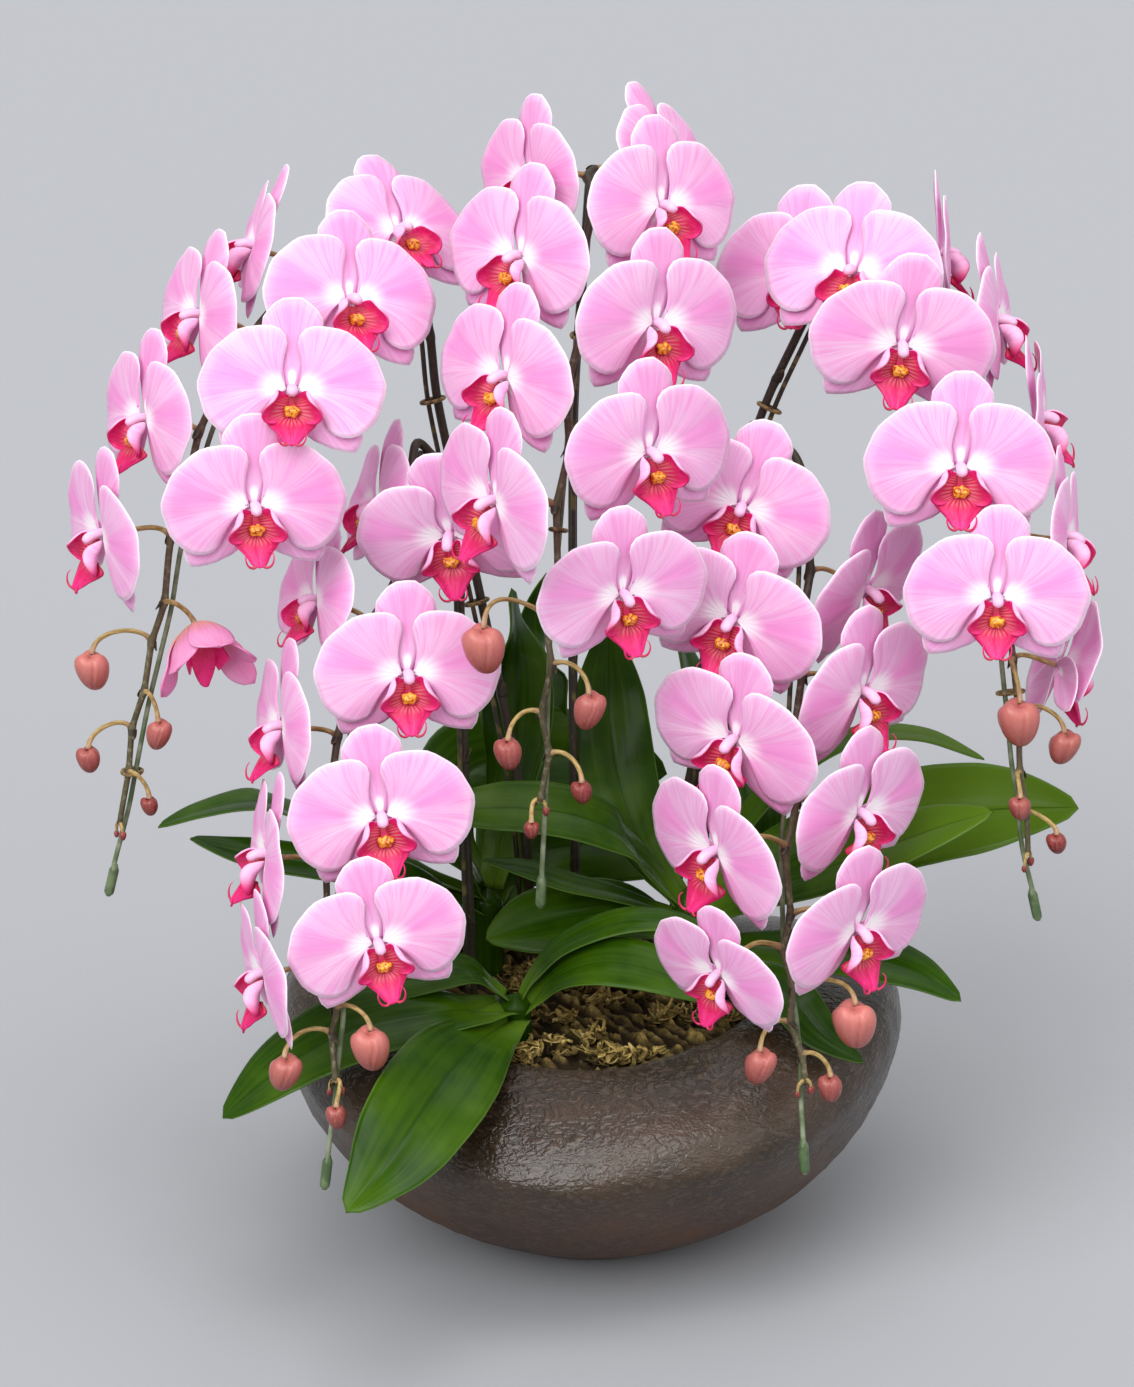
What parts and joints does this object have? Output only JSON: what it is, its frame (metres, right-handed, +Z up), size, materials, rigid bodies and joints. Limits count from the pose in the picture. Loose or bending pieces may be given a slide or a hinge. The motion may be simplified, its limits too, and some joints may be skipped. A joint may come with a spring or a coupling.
{
  "type": "potted moth orchid",
  "caption": "Moth orchid arrangement in a low boat-like bowl: arching sprays of pink blooms over strap leaves, tied to wire stakes, with moss in the bowl's mouth.",
  "frame": {"origin": "centre of the bowl's flat underside, on the ground", "axes": "+Z up; -Y is the front, to which most of the blooms face; +X is to the right as seen from the front"},
  "size_m": [0.6001, 0.437, 0.6998],
  "materials": {
    "bowl": "dark brown-black, satin, lightly hammered",
    "moss": "dry golden-brown sphagnum moss, matte",
    "leaf": "thick deep green leaf, waxy",
    "stem": "brown-green stem and stalks, salmon-brown buds, matte",
    "stake": "dull green plastic-coated wire",
    "petal": "pink petals with a pale middle, satin; crimson lip"
  },
  "bodies": {
    "root": {"bowl": "bowl", "moss": "moss", "leaves_front_plant": "leaf", "leaves_left_plant": "leaf", "leaves_right_plant": "leaf", "stem_far_left_spike": "stem", "stake_far_left_spike": "stake", "bloom_far_left_spike_left_1": "petal", "bloom_far_left_spike_left_2": "petal", "bloom_far_left_spike_left_3": "petal", "bloom_far_left_spike_left_4": "petal", "bloom_far_left_spike_right_1": "petal", "bloom_far_left_spike_right_2": "petal", "bloom_far_left_spike_right_3": "petal", "bloom_far_left_spike_right_4": "petal", "stem_left_spike": "stem", "stake_left_spike": "stake", "bloom_left_spike_left_1": "petal", "bloom_left_spike_left_2": "petal", "bloom_left_spike_left_3": "petal", "bloom_left_spike_left_4": "petal", "bloom_left_spike_left_5": "petal", "bloom_left_spike_right_1": "petal", "bloom_left_spike_right_2": "petal", "bloom_left_spike_right_3": "petal", "bloom_left_spike_right_4": "petal", "stem_middle_spike": "stem", "stake_middle_spike": "stake", "bloom_middle_spike_left_1": "petal", "bloom_middle_spike_left_2": "petal", "bloom_middle_spike_left_3": "petal", "bloom_middle_spike_left_4": "petal", "bloom_middle_spike_right_1": "petal", "bloom_middle_spike_right_2": "petal", "bloom_middle_spike_right_3": "petal", "bloom_middle_spike_right_4": "petal", "bloom_middle_spike_right_5": "petal", "stem_right_spike": "stem", "stake_right_spike": "stake", "bloom_right_spike_left_1": "petal", "bloom_right_spike_left_2": "petal", "bloom_right_spike_left_3": "petal", "bloom_right_spike_left_4": "petal", "bloom_right_spike_left_5": "petal", "bloom_right_spike_right_1": "petal", "bloom_right_spike_right_2": "petal", "bloom_right_spike_right_3": "petal", "bloom_right_spike_right_4": "petal", "stem_far_right_spike": "stem", "stake_far_right_spike": "stake", "bloom_far_right_spike_left_1": "petal", "bloom_far_right_spike_left_2": "petal", "bloom_far_right_spike_left_3": "petal", "bloom_far_right_spike_left_4": "petal", "bloom_far_right_spike_left_5": "petal", "bloom_far_right_spike_right_1": "petal", "bloom_far_right_spike_right_2": "petal", "bloom_far_right_spike_right_3": "petal", "bloom_far_right_spike_right_4": "petal", "bloom_far_right_spike_right_5": "petal"}
  },
  "joints": []
}
